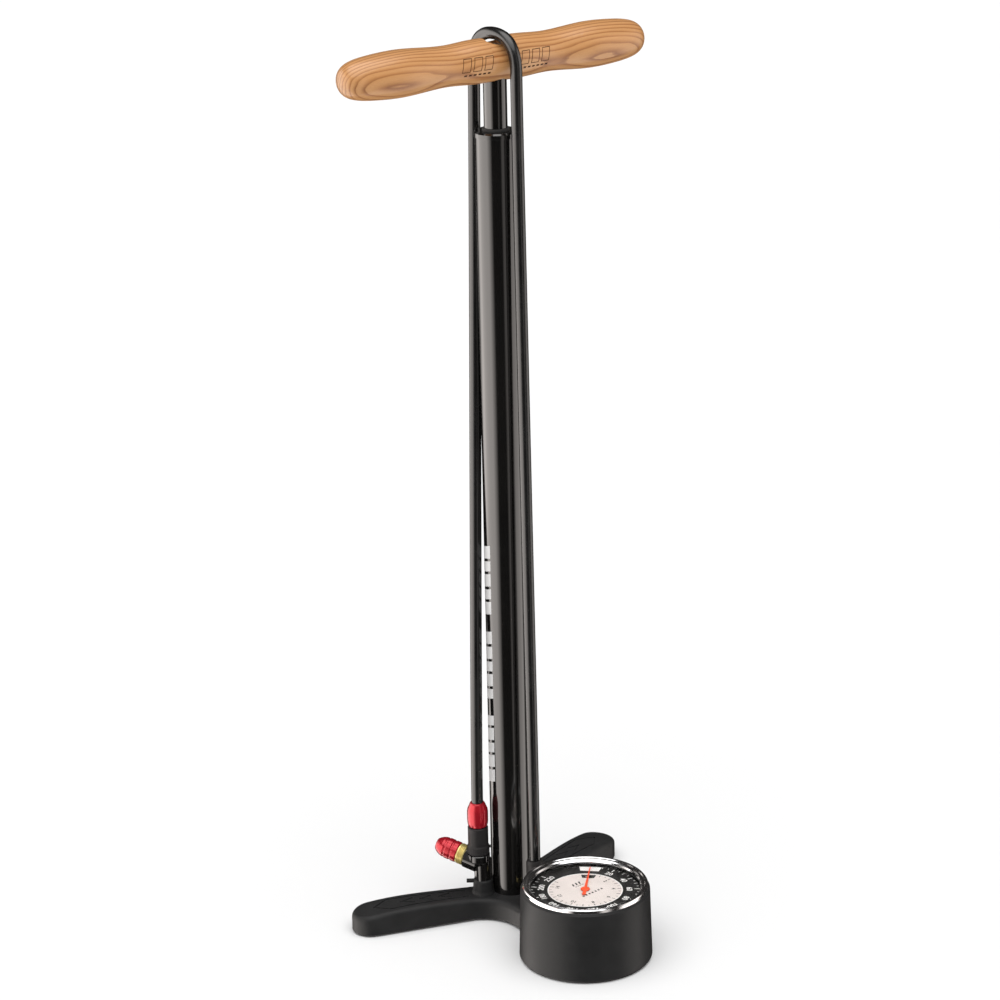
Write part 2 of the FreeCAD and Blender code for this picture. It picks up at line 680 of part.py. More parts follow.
# ---------------------------------------------------------------- gauge
def gauge_shroud():
    """Protective can round the gauge, open where the arm comes in."""
    outside = [(CASE_R + 0.3, 0.6), (SHROUD_FOOT_R - 1.2, 0.6), (SHROUD_FOOT_R, 2.2),
               (SHROUD_TOP_R, SHROUD_TOP_Z - 1.5), (SHROUD_TOP_R - 1.2, SHROUD_TOP_Z)]
    inside = [(BEZEL_R + 0.05, SHROUD_TOP_Z), (BEZEL_R + 0.05, BEZEL_SEAT_Z), (CASE_R + 0.04, BEZEL_SEAT_Z),
              (CASE_R + 0.04, 10.0), (CASE_R + 0.3, 9.0)]
    body = turned(outside + inside, GAUGE)
    mouth = plate([(-17.2, -30), (-17.2, -60), (17.2, -60), (17.2, -30)], -1, HUB_TOP_Z + 1.2)
    return body.cut([mouth, disc(9.0, -1, HOSE_START[2], HOSE_START[:2])])


def gauge_case():
    """Steel cup that holds the movement, fixed on the platform."""
    wall = 1.2
    cup = turned([(0, 8.05), (CASE_R - 0.4, 8.05), (CASE_R, 9.5), (CASE_R, CASE_TOP_Z), (CASE_R - wall, CASE_TOP_Z),
                  (CASE_R - wall, 9.4), (0, 9.4)], GAUGE)
    holes = [disc(2.05, 0, 15, p) for p in case_screw_places()]
    return cup.cut(holes + [disc(4.4, 0, 20, (GAUGE[0], GAUGE[1] + STEM_OFFSET))])


def gauge_gasket():
    """Rubber ring under the lens."""
    return ring(CASE_R - 0.1, CASE_R - 2.2, CASE_TOP_Z + 0.05, CASE_TOP_Z + 1.0, GAUGE)


def gauge_lens():
    """Clear window."""
    return disc(CASE_R, CASE_TOP_Z + 1.05, CASE_TOP_Z + 3.0, GAUGE)


def gauge_bezel():
    """Rolled chrome ring with two beads."""
    r, z = BEZEL_R, BEZEL_TOP_Z
    inner = r - 5.4
    seat, lens_top = BEZEL_SEAT_Z + 0.05, CASE_TOP_Z + 3.05
    bead = [(r - 0.1, seat), (r, 50.6), (r, z - 0.9), (r - 0.5, z - 0.15), (r - 1.2, z), (r - 2.0, z - 0.2),
            (r - 2.5, z - 0.75), (r - 3.1, z - 0.8), (r - 3.8, z - 1.0), (r - 4.6, z - 1.6), (inner, z - 2.6)]
    return turned([(CASE_R + 0.1, seat)] + bead + [(inner, lens_top), (CASE_R + 0.1, lens_top)], GAUGE)


def dial_plate():
    """Printed dial."""
    return ring(DIAL_R, 1.6, DIAL_Z - 1.0, DIAL_Z - 0.2, GAUGE)


def gauge_stem():
    """Brass block that feeds the pressure tube from the duct."""
    x, y = GAUGE[0], GAUGE[1] + STEM_OFFSET
    block = plate([(x - 5, y - 4), (x + 5, y - 4), (x + 5, y + 4), (x - 5, y + 4)], 9.45, 26.0)
    tube_seat = ring(BOURDON_R + 1.15, BOURDON_R - 1.15, BOURDON_Z - 4.05, BOURDON_Z + 4.05, GAUGE)
    seat = tube_seat.common(plate([(x - 20, y - 9), (x - 2.95, y - 9), (x - 2.95, y + 9), (x - 20, y + 9)], 0, 40))
    return fuse(block, disc(4.0, 8.2, 10, (x, y))).cut([disc(1.2, 5, 24, (x, y)), seat])


def bourdon_tube():
    """Flattened C-shaped pressure tube with its end block."""
    half_w, half_h = 1.1, 4.0
    r, z = BOURDON_R, BOURDON_Z
    section = [Vector(r - half_w, 0, z - half_h), Vector(r + half_w, 0, z - half_h),
               Vector(r + half_w, 0, z + half_h), Vector(r - half_w, 0, z + half_h)]
    face = Part.Face(Part.makePolygon(section + section[:1]))
    tube = face.revolve(Vector(0, 0, 0), Vector(0, 0, 1), 234)
    tube = tube.makeFillet(0.9, [e for e in tube.Edges if e.BoundBox.DiagonalLength > 30])
    tube.rotate(Vector(0, 0, 0), Vector(0, 0, 1), 95.5)
    tube.translate(Vector(*GAUGE, 0))
    tip = polar(BOURDON_R - 3.2, -30, GAUGE)
    return fuse(tube, disc(2.6, z - 3, MESH_Z - 2.7, tip))


def involute(angle):
    """The involute function of an angle in radians."""
    return math.tan(angle) - angle


def tooth_half_angle(radius, teeth, backlash):
    """Half the angle that one involute tooth spans at a radius, for 20 degree teeth."""
    pressure = math.radians(20)
    pitch = GEAR_MODULE * teeth / 2
    base = pitch * math.cos(pressure)
    if radius <= base:
        radius = base
    at = math.acos(base / radius)
    return math.pi / 2 / teeth + involute(pressure) - involute(at) - backlash / 2 / pitch


def gear_outline(teeth, first, count, at, phase, backlash=0.12):
    """Corner points of some of a gear's teeth, counted from the phase angle."""
    pitch = GEAR_MODULE * teeth / 2
    root, tip = pitch - 1.15 * GEAR_MODULE, pitch + 0.8 * GEAR_MODULE
    base = pitch * math.cos(math.radians(20))
    low = max(root, base)
    flank = [low + (tip - low) * i / 4 for i in range(5)]
    points = []
    for k in range(first, first + count):
        middle = phase + 2 * math.pi * k / teeth
        foot = tooth_half_angle(low, teeth, backlash)
        points.append((root, middle - foot))
        points += [(r, middle - tooth_half_angle(r, teeth, backlash)) for r in flank]
        points += [(r, middle + tooth_half_angle(r, teeth, backlash)) for r in reversed(flank)]
        points.append((root, middle + foot))
    return [(at[0] + r * math.cos(a), at[1] + r * math.sin(a)) for r, a in points]


def pinion_shaft():
    """Arbor with the pinion that turns the needle."""
    teeth = plate(clean(gear_outline(PINION_TEETH, 0, PINION_TEETH, GAUGE, 0.0)), MESH_Z, MESH_Z + 2.4)
    return fuse(teeth, disc(1.2, MESH_Z - 6, NEEDLE_Z + 0.2, GAUGE))


def clean(points, gap=0.01):
    """Drops points closer together than gap."""
    kept = []
    for p in points:
        if not kept or math.dist(p, kept[-1]) > gap:
            kept.append(p)
    return kept


def sector_gear():
    """Toothed sector on its pivot, with a tail for the link."""
    half_tooth = math.pi / SECTOR_TEETH
    first = math.pi + half_tooth - 10 * 2 * math.pi / SECTOR_TEETH
    rim = gear_outline(SECTOR_TEETH, -2, 15, SECTOR_PIVOT, first)
    blank = plate(clean([SECTOR_PIVOT] + rim), MESH_Z + 0.4, MESH_Z + 2.0)
    boss = disc(2.6, MESH_Z + 0.4, MESH_Z + 2.0, SECTOR_PIVOT)
    px, py = SECTOR_PIVOT
    lx, ly = LINK_PIN
    tail_corners = [(px + 1.6, py + 0.4), (px - 1.6, py - 0.4), (lx - 1.6, ly - 0.4), (lx + 1.6, ly + 0.4)]
    tail = plate(tail_corners, MESH_Z + 0.4, MESH_Z + 2.0)
    pin_boss = disc(1.8, MESH_Z + 0.4, MESH_Z + 2.0, LINK_PIN)
    body = fuse(blank, boss, tail, pin_boss, disc(0.9, MESH_Z - 3, MESH_Z + 0.4, LINK_PIN))
    return body.cut(disc(1.25, 0, 60, SECTOR_PIVOT))


def movement_link():
    """Short link from the pressure tube's tip to the sector's tail."""
    a, b = LINK_PIN, polar(BOURDON_R - 3.2, -30, GAUGE)
    z0, z1 = MESH_Z - 2.4, MESH_Z - 1.2
    body = fuse(strap(a, b, 1.1, z0, z1), disc(1.9, z0, z1, a), disc(1.5, z0, z1, b))
    return body.cut([disc(0.97, z0 - 1, z1 + 1, a), disc(0.6, z0 - 1, z1 + 1, b)])


def movement_plates():
    """Two brass plates on pillars that carry the pinion and the sector's pivot pin."""
    outline = [(x + GAUGE[0], y + GAUGE[1]) for x, y in ((-8, -8), (29.5, -8), (29.5, 8), (-8, 8))]
    lower = plate(outline, MESH_Z - 6, MESH_Z - 4.5)
    upper = plate(outline, MESH_Z + 6, MESH_Z + 7.2)
    places = [(x + GAUGE[0], y + GAUGE[1]) for x, y in ((-5.5, -6), (-5.5, 6), (27, 6.3))]
    pillars = [disc(1.4, 9.45, MESH_Z + 7, at) for at in places]
    pin = disc(1.2, MESH_Z - 5, MESH_Z + 6.5, SECTOR_PIVOT)
    return fuse(lower, upper, pin, *pillars).cut(disc(1.25, 0, 60, GAUGE))


def gauge_needle():
    """Pointer with a counterweight tail and a round hub."""
    thickness = 0.45
    outline = [(-9.0, -1.3), (-9.0, 1.3), (0, 1.0), (34.0, 0.35), (36.5, 0), (34.0, -0.35), (0, -1.0)]
    body = fuse(plate(outline, 0, thickness), disc(3.2, 0, thickness)).cut(disc(1.22, -1, 0.22))
    body.rotate(Vector(0, 0, 0), Vector(0, 0, 1), DIAL_ZERO)
    body.translate(Vector(*GAUGE, NEEDLE_Z))
    return body


def needle_stop():
    """Pin on the dial that the needle rests against at zero."""
    return disc(0.5, DIAL_Z - 0.18, DIAL_Z + 0.85, polar(20.0, DIAL_ZERO + 4.2, GAUGE))


PARTS = [
    base_casting, foot_pads, case_screws, barrel_tube, barrel_cap, cap_seal, rod_guide, rod_wiper,
    foot_plug, foot_seal, check_ball, check_spring, piston_rod, piston_head, piston_seal, piston_screw,
    bump_stop, handle, rod_insert, handle_bolt, hose, hose_barb, lower_ferrule, chuck_ferrule, swivel_tail,
    chuck_body, chuck_ring, chuck_seal, bleed_button, chuck_dock, dock_spigot, dock_screw, dock_pin,
    adapter_shank, adapter_thread, adapter_sleeve, adapter_seal, gauge_shroud, gauge_case, gauge_gasket,
    gauge_lens, gauge_bezel, dial_plate, gauge_stem, bourdon_tube, pinion_shaft, sector_gear, movement_link,
    movement_plates, gauge_needle, needle_stop,
]


def main():
    os.makedirs("parts", exist_ok=True)
    for build in PARTS:
        shape = build()
        shape.translate(FOOTPRINT_SHIFT)
        print(build.__name__, len(shape.Solids), round(shape.Volume, 1))
        shape.exportStep(os.path.join("parts", build.__name__ + ".step"))


main()
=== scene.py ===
import json
import math

import bpy
from mathutils import Matrix, Vector


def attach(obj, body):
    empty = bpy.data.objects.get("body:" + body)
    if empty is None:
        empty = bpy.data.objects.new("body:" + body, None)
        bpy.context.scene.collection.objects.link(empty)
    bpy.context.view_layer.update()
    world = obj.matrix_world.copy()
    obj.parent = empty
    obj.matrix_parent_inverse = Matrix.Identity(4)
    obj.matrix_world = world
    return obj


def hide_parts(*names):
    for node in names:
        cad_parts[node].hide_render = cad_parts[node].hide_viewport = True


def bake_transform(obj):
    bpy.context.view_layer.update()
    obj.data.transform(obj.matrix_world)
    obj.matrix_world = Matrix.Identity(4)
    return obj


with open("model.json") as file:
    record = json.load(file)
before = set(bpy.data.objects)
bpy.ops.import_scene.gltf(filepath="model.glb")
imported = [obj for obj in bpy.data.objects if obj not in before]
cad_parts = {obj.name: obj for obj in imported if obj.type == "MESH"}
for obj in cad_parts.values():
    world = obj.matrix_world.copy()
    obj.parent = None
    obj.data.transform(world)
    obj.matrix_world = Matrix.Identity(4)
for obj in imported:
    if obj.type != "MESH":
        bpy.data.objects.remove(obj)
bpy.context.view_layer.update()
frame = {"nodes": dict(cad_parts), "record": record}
nodes = frame["nodes"]

# Places and sizes of the main pieces, in metres, as the CAD has them
BARREL_X, BARREL_Y = 0.0, 0.0456766
BARREL_R = 0.0143
HANDLE_Z = 0.623
GAUGE_X, GAUGE_Y = 0.0, -0.0453234
DIAL_TOP = 0.0488
DIAL_ZERO = math.radians(48.0)
FULL_SCALE = math.radians(300.0)
FULL_PSI = 220.0
PSI_PER_BAR = 14.5038
HOSE_R = 0.00415
ADAPTER_AXIS = (-0.52739, 0.80594, 0.26892)
UP = (0.0, 0.0, 1.0)

# The studio camera: its place, the heading and height it looks from in degrees, its roll and its lens
CAMERA_PLACE = (-1.193217, -1.692725, 1.039417)
CAMERA_HEADING = 235.6
CAMERA_RISE = 19.0
CAMERA_ROLL = 1.21
CAMERA_LENS = 115.56


# ---------------------------------------------------------------- camera
def add_camera():
    """Camera at the studio's three-quarter view, from the left and above."""
    heading, rise, roll = (math.radians(angle) for angle in (CAMERA_HEADING, CAMERA_RISE, CAMERA_ROLL))
    level = Vector((math.cos(heading), math.sin(heading), 0.0))
    back = level * math.cos(rise) + Vector(UP) * math.sin(rise)
    right = Vector(UP).cross(level)
    up = back.cross(right)
    across = right * math.cos(roll) - up * math.sin(roll)
    upright = right * math.sin(roll) + up * math.cos(roll)
    data = bpy.data.cameras.new("studio_camera")
    data.sensor_width = 36.0
    data.lens = CAMERA_LENS
    data.clip_start = 0.05
    data.clip_end = 50.0
    camera = bpy.data.objects.new("studio_camera", data)
    bpy.context.scene.collection.objects.link(camera)
    turn = Matrix((across, upright, back)).transposed().to_4x4()
    camera.matrix_world = Matrix.Translation(CAMERA_PLACE) @ turn
    bpy.context.scene.camera = camera


# ---------------------------------------------------------------- helpers for modelling
def deselect():
    """Leaves nothing selected and no piece active."""
    if bpy.context.object and bpy.context.object.mode != "OBJECT":
        bpy.ops.object.mode_set(mode="OBJECT")
    bpy.ops.object.select_all(action="DESELECT")


def only(piece):
    """Makes one piece the selected and active one."""
    deselect()
    piece.select_set(True)
    bpy.context.view_layer.objects.active = piece


def seat(piece):
    """Puts a piece's place, turn and size into its mesh."""
    only(piece)
    bpy.ops.object.transform_apply(location=True, rotation=True, scale=True)


def moved(piece, matrix):
    """Carries a seated piece's mesh to another place."""
    piece.data.transform(matrix)
    piece.data.update()
    return piece


def twin(piece, matrix):
    """Copy of a piece with its own mesh, carried to another place."""
    copy = piece.copy()
    copy.data = piece.data.copy()
    bpy.context.scene.collection.objects.link(copy)
    return moved(copy, matrix)


def joined(pieces):
    """One piece from several."""
    deselect()
    for piece in pieces:
        piece.select_set(True)
    bpy.context.view_layer.objects.active = pieces[0]
    bpy.ops.object.join()
    return pieces[0]


def apply_modifier(piece, kind, **settings):
    """Adds a modifier with these settings and applies it."""
    only(piece)
    modifier = piece.modifiers.new(kind.lower(), kind)
    for key, value in settings.items():
        setattr(modifier, key, value)
    bpy.ops.object.modifier_apply(modifier=modifier.name)


def finished(piece, name, material, body):
    """Names a piece, gives it its finish and lets it ride on its body."""
    piece.name = name
    piece.data.name = name
    piece.data.materials.clear()
    piece.data.materials.append(material)
    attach(piece, body)


# ---------------------------------------------------------------- hose
HOSE_ROUTE = [
    (0.0, 0.0156766, 0.050),
    (0.0, 0.0156766, 0.095),
    (0.0027, 0.0246766, 0.592),
    (0.0027, 0.0241766, 0.640),
    (-0.0015, 0.0680766, 0.640),
    (-0.0015, 0.0678766, 0.592),
    (-0.024, 0.0516766, 0.128),
    (-0.024, 0.0516766, 0.0885),
]


def add_hose(material):
    """Rubber hose from the gauge arm, up over the handle and down to the chuck."""
    curve = bpy.data.curves.new("hose_line", "CURVE")
    curve.dimensions = "3D"
    curve.resolution_u = 40
    spline = curve.splines.new("NURBS")
    spline.points.add(len(HOSE_ROUTE) - 1)
    for point, place in zip(spline.points, HOSE_ROUTE):
        point.co = (*place, 1.0)
    spline.order_u = 3
    spline.use_endpoint_u = True
    hose = bpy.data.objects.new("rubber_hose", curve)
    bpy.context.scene.collection.objects.link(hose)
    bpy.context.view_layer.update()
    line = bpy.data.meshes.new_from_object(hose)
    bpy.data.meshes.remove(line)
    curve.bevel_depth = HOSE_R
    curve.bevel_resolution = 6
    curve.use_fill_caps = True
    only(hose)
    bpy.ops.object.convert(target="MESH")
    bpy.ops.object.shade_smooth_by_angle(angle=math.radians(50))
    hose.data.name = "rubber_hose"
    hose.data.materials.append(material)
    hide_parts("hose")
    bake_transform(hose)


# ---------------------------------------------------------------- shader node groups
def new_group(name, inputs, outputs):
    """Empty shader node group with the inputs and float outputs named."""
    group = bpy.data.node_groups.new(name, "ShaderNodeTree")
    for label, value in inputs:
        kind = "NodeSocketVector" if isinstance(value, tuple) else "NodeSocketFloat"
        socket = group.interface.new_socket(label, in_out="INPUT", socket_type=kind)
        if kind == "NodeSocketFloat":
            socket.default_value = value
    for label in outputs:
        group.interface.new_socket(label, in_out="OUTPUT", socket_type="NodeSocketFloat")
    start = group.nodes.new("NodeGroupInput")
    end = group.nodes.new("NodeGroupOutput")
    return group, start, end


def node(tree, kind, **settings):
    """Shader node with some of its settings given."""
    made = tree.nodes.new(kind)
    for key, value in settings.items():
        setattr(made, key, value)
    return made


def maths(tree, operation, first, second=None, third=None):
    """Math node whose inputs are sockets or numbers; gives its output."""
    made = node(tree, "ShaderNodeMath", operation=operation)
    for i, value in enumerate((first, second, third)):
        if value is None:
            continue
        if isinstance(value, (int, float)):
            made.inputs[i].default_value = value
        else:
            tree.links.new(value, made.inputs[i])
    return made.outputs[0]


def noise(tree, vector, scale, detail=4.0, rough=0.5, distortion=0.0):
    """Noise texture's factor, with scale a number or a socket."""
    made = node(tree, "ShaderNodeTexNoise")
    made.inputs["Detail"].default_value = detail
    made.inputs["Roughness"].default_value = rough
    made.inputs["Distortion"].default_value = distortion
    if isinstance(scale, (int, float)):
        made.inputs["Scale"].default_value = scale
    else:
        tree.links.new(scale, made.inputs["Scale"])
    tree.links.new(vector, made.inputs["Vector"])
    return made.outputs[0]


def remap(tree, value, low, high, to_low=0.0, to_high=1.0):
    """Value stretched from one range to another and held inside it."""
    made = node(tree, "ShaderNodeMapRange")
    tree.links.new(value, made.inputs["Value"])
    for label, number in (("From Min", low), ("From Max", high), ("To Min", to_low), ("To Max", to_high)):
        made.inputs[label].default_value = number
    return made.outputs["Result"]


def make_grain_group():
    """Fine speckle and a slow mottle, for cast, moulded and rubber skins."""
    inputs = [("Vector", (0, 0, 0)), ("Scale", 2500.0)]
    group, start, end = new_group("fine_grain", inputs, ["Speckle", "Mottle"])
    speckle = noise(group, start.outputs["Vector"], start.outputs["Scale"], 3.0, 0.6)
    slow = maths(group, "MULTIPLY", start.outputs["Scale"], 0.02)
    mottle = noise(group, start.outputs["Vector"], slow, 5.0, 0.55, 0.4)
    group.links.new(remap(group, speckle, 0.3, 0.7), end.inputs["Speckle"])
    group.links.new(remap(group, mottle, 0.32, 0.68), end.inputs["Mottle"])
    return group


def make_edge_group():
    """Mask that is bright where a surface turns over an edge, broken up by noise."""
    inputs = [("Vector", (0, 0, 0)), ("Break Up", 400.0)]
    group, start, end = new_group("edge_rub", inputs, ["Mask"])
    rounded = node(group, "ShaderNodeBevel", samples=6)
    rounded.inputs["Radius"].default_value = 0.0007
    here = node(group, "ShaderNodeNewGeometry")
    alike = node(group, "ShaderNodeVectorMath", operation="DOT_PRODUCT")
    group.links.new(rounded.outputs[0], alike.inputs[0])
    group.links.new(here.outputs["Normal"], alike.inputs[1])
    edge = remap(group, alike.outputs["Value"], 0.99, 0.86)
    patchy = noise(group, start.outputs["Vector"], start.outputs["Break Up"], 4.0, 0.6)
    rubbed = maths(group, "MULTIPLY", edge, remap(group, patchy, 0.38, 0.62))
    group.links.new(rubbed, end.inputs["Mask"])
    return group


def make_turned_group():
    """Fine rings as a lathe leaves them: lines across an axis, with a slow change along it."""
    inputs = [("Along", 0.0), ("Pitch", 9000.0), ("Vector", (0, 0, 0))]
    group, start, end = new_group("lathe_lines", inputs, ["Lines", "Haze"])
    line = node(group, "ShaderNodeCombineXYZ")
    turns = maths(group, "MULTIPLY", start.outputs["Along"], start.outputs["Pitch"])
    group.links.new(turns, line.inputs[0])
    lines = noise(group, line.outputs[0], 1.0, 3.0, 0.7)
    haze = noise(group, start.outputs["Vector"], 160.0, 4.0, 0.55)
    group.links.new(remap(group, lines, 0.3, 0.7), end.inputs["Lines"])
    group.links.new(remap(group, haze, 0.3, 0.7), end.inputs["Haze"])
    return group


GRAIN = make_grain_group()
EDGE = make_edge_group()
TURNED = make_turned_group()


# ---------------------------------------------------------------- materials
def start_material(name, **constants):
    """Principled material with its constant values set on the shader's own sockets."""
    material = bpy.data.materials.new(name)
    material.use_nodes = True
    tree = material.node_tree
    shader = tree.nodes["Principled BSDF"]
    for key, value in constants.items():
        shader.inputs[key.replace("_", " ")].default_value = value
    return material, tree, shader


def object_place(tree):
    """Object coordinates of the piece."""
    return node(tree, "ShaderNodeTexCoord").outputs["Object"]


def placed(tree, group, **values):
    """A shared node group with its own values in this material."""
    made = node(tree, "ShaderNodeGroup", node_tree=group)
    for key, value in values.items():
        socket = made.inputs[key.replace("_", " ")]
        if isinstance(value, (int, float)):
            socket.default_value = value
        else:
            tree.links.new(value, socket)
    return made


def two_tone(tree, factor, dark, light):
    """Colour between two, by a factor socket."""
    ramp = node(tree, "ShaderNodeValToRGB")
    ramp.color_ramp.elements[0].color = (*dark, 1.0)
    ramp.color_ramp.elements[1].color = (*light, 1.0)
    tree.links.new(factor, ramp.inputs["Fac"])
    return ramp.outputs["Color"]


def blended(tree, factor, first, second):
    """Colour mix of a socket or tuple with another."""
    made = node(tree, "ShaderNodeMix", data_type="RGBA")
    tree.links.new(factor, made.inputs["Factor"])
    for label, value in ((6, first), (7, second)):
        if isinstance(value, tuple):
            made.inputs[label].default_value = (*value, 1.0)
        else:
            tree.links.new(value, made.inputs[label])
    return made.outputs[2]


def bumped(tree, shader, height, distance, strength=1.0):
    """Bump from a height socket into the shader's normal."""
    bump = node(tree, "ShaderNodeBump")
    bump.inputs["Strength"].default_value = strength
    bump.inputs["Distance"].default_value = distance
    tree.links.new(height, bump.inputs["Height"])
    tree.links.new(bump.outputs["Normal"], shader.inputs["Normal"])


def skin_material(name, dark, light, rub, rough, scale, depth, **constants):
    """Cast, moulded or painted skin: speckled grain, mottled colour, rubbed edges."""
    material, tree, shader = start_material(name, **constants)
    place = object_place(tree)
    grain = placed(tree, GRAIN, Vector=place, Scale=scale)
    edge = placed(tree, EDGE, Vector=place)
    body = two_tone(tree, grain.outputs["Mottle"], dark, light)
    tree.links.new(blended(tree, edge.outputs["Mask"], body, rub), shader.inputs["Base Color"])
    tree.links.new(remap(tree, grain.outputs["Mottle"], 0.0, 1.0, *rough), shader.inputs["Roughness"])
    bumped(tree, shader, grain.outputs["Speckle"], depth)
    return material


def turned_material(name, dark, light, rough, axis, pitch=9000.0, depth=0.000003, **constants):
    """Turned metal: fine rings across its axis and a soft haze."""
    material, tree, shader = start_material(name, **constants)
    place = object_place(tree)
    along = node(tree, "ShaderNodeVectorMath", operation="DOT_PRODUCT")
    tree.links.new(place, along.inputs[0])
    along.inputs[1].default_value = axis
    rings = placed(tree, TURNED, Along=along.outputs["Value"], Pitch=pitch, Vector=place)
    cloud = maths(tree, "MULTIPLY", rings.outputs["Haze"], 0.35)
    shade = maths(tree, "MULTIPLY_ADD", rings.outputs["Lines"], 0.65, cloud)
    tree.links.new(two_tone(tree, shade, dark, light), shader.inputs["Base Color"])
    tree.links.new(remap(tree, rings.outputs["Haze"], 0.0, 1.0, *rough), shader.inputs["Roughness"])
    bumped(tree, shader, rings.outputs["Lines"], depth)
    return material


def enamel_material():
    """Deep gloss black enamel with a little orange peel."""
    material, tree, shader = start_material(
        "gloss_enamel", Coat_Weight=0.6, Coat_Roughness=0.03, Specular_IOR_Level=0.5, IOR=1.5)
    place = object_place(tree)
    grain = placed(tree, GRAIN, Vector=place, Scale=420.0)
    edge = placed(tree, EDGE, Vector=place)
    body = two_tone(tree, grain.outputs["Mottle"], (0.0045, 0.0042, 0.0040), (0.0075, 0.0070, 0.0066))
    tree.links.new(blended(tree, edge.outputs["Mask"], body, (0.03, 0.03, 0.03)), shader.inputs["Base Color"])
    tree.links.new(remap(tree, grain.outputs["Mottle"], 0.0, 1.0, 0.10, 0.17), shader.inputs["Roughness"])
    bumped(tree, shader, grain.outputs["Speckle"], 0.000006, 0.5)
    return material


# The handle's wood: where the pith of the tree lies from its middle, and how its rings run
PITH_BEHIND = 0.075
PITH_ABOVE = 0.030
RING_WIDTH = 0.0024
RING_WANDER = 0.0085


def along_grain(tree, place, squeeze):
    """Place with its length along the handle squeezed, so that a pattern on it comes out long."""
    mapping = node(tree, "ShaderNodeMapping")
    mapping.inputs["Scale"].default_value = (squeeze, 1.0, 1.0)
    tree.links.new(place, mapping.inputs["Vector"])
    return mapping.outputs[0]


def wood_material():
    """Varnished ash: growth rings that nest on the swells, long fibres and open pores."""
    material, tree, shader = start_material(
        "ash_handle", Coat_Weight=0.35, Coat_Roughness=0.12, Specular_IOR_Level=0.45)
    place = object_place(tree)
    stretched = along_grain(tree, place, 0.10)
    wave = noise(tree, stretched, 42.0, 3.0, 0.5, 0.2)
    split = node(tree, "ShaderNodeSeparateXYZ")
    tree.links.new(place, split.inputs[0])
    across = maths(tree, "SUBTRACT", split.outputs["Y"], BARREL_Y + PITH_BEHIND)
    above = maths(tree, "SUBTRACT", split.outputs["Z"], HANDLE_Z + PITH_ABOVE)
    squares = maths(tree, "MULTIPLY_ADD", across, across, maths(tree, "MULTIPLY", above, above))
    depth = maths(tree, "MULTIPLY_ADD", wave, RING_WANDER, maths(tree, "SQRT", squares))
    ring = maths(tree, "FRACT", maths(tree, "MULTIPLY", depth, 1.0 / RING_WIDTH))
    # one ring from its pale early wood to its dark late wood
    late = node(tree, "ShaderNodeValToRGB")
    stops = late.color_ramp
    stops.interpolation = "B_SPLINE"
    stops.elements[0].position, stops.elements[0].color = 0.0, (0.60, 0.292, 0.108, 1.0)
    stops.elements[1].position, stops.elements[1].color = 1.0, (0.52, 0.235, 0.080, 1.0)
    for at, colour in ((0.30, (0.66, 0.345, 0.140)), (0.62, (0.58, 0.275, 0.100)),
                       (0.84, (0.36, 0.138, 0.040)), (0.93, (0.27, 0.092, 0.024))):
        stops.elements.new(at).color = (*colour, 1.0)
    tree.links.new(ring, late.inputs["Fac"])
    fibre = remap(tree, noise(tree, along_grain(tree, place, 0.035), 2400.0, 4.0, 0.6), 0.36, 0.66)
    pores = noise(tree, along_grain(tree, place, 0.09), 3300.0, 2.0, 0.5)
    crowded = maths(tree, "MULTIPLY_ADD", remap(tree, ring, 0.55, 0.9), 0.7, 0.3)
    pore = maths(tree, "MULTIPLY", remap(tree, pores, 0.60, 0.68), crowded)
    streak = maths(tree, "MULTIPLY", fibre, 0.22)
    streaked = blended(tree, streak, late.outputs["Color"], (0.40, 0.175, 0.060))
    coloured = blended(tree, maths(tree, "MULTIPLY", pore, 0.45), streaked, (0.16, 0.060, 0.020))
    patch = noise(tree, stretched, 90.0, 3.0, 0.5)
    warmed = blended(tree, remap(tree, patch, 0.35, 0.7, 0.0, 0.35), coloured, (0.66, 0.30, 0.095))
    tree.links.new(warmed, shader.inputs["Base Color"])
    tree.links.new(remap(tree, fibre, 0.0, 1.0, 0.34, 0.48), shader.inputs["Roughness"])
    height = maths(tree, "SUBTRACT", maths(tree, "MULTIPLY", ring, 0.25), maths(tree, "MULTIPLY", pore, 0.6))
    bumped(tree, shader, height, 0.00008, 0.6)
    return material


def print_material(name, dark, light, rough=(0.4, 0.5)):
    """Screen-printed ink, a little uneven."""
    material, tree, shader = start_material(name, Specular_IOR_Level=0.2)
    grain = placed(tree, GRAIN, Vector=object_place(tree), Scale=3500.0)
    tree.links.new(two_tone(tree, grain.outputs["Mottle"], dark, light), shader.inputs["Base Color"])
    tree.links.new(remap(tree, grain.outputs["Speckle"], 0.0, 1.0, *rough), shader.inputs["Roughness"])
    bumped(tree, shader, grain.outputs["Speckle"], 0.000008, 0.5)
    return material


def lens_material():
    """Clear window over the dial, thin enough not to bend the view."""
    material, tree, shader = start_material("clear_window", Transmission_Weight=1.0, IOR=1.12, Metallic=0.0)
    grain = placed(tree, GRAIN, Vector=object_place(tree), Scale=900.0)
    tree.links.new(remap(tree, grain.outputs["Mottle"], 0.0, 1.0, 0.0, 0.03), shader.inputs["Roughness"])
    shader.inputs["Base Color"].default_value = (0.97, 0.98, 0.98, 1.0)
    return material


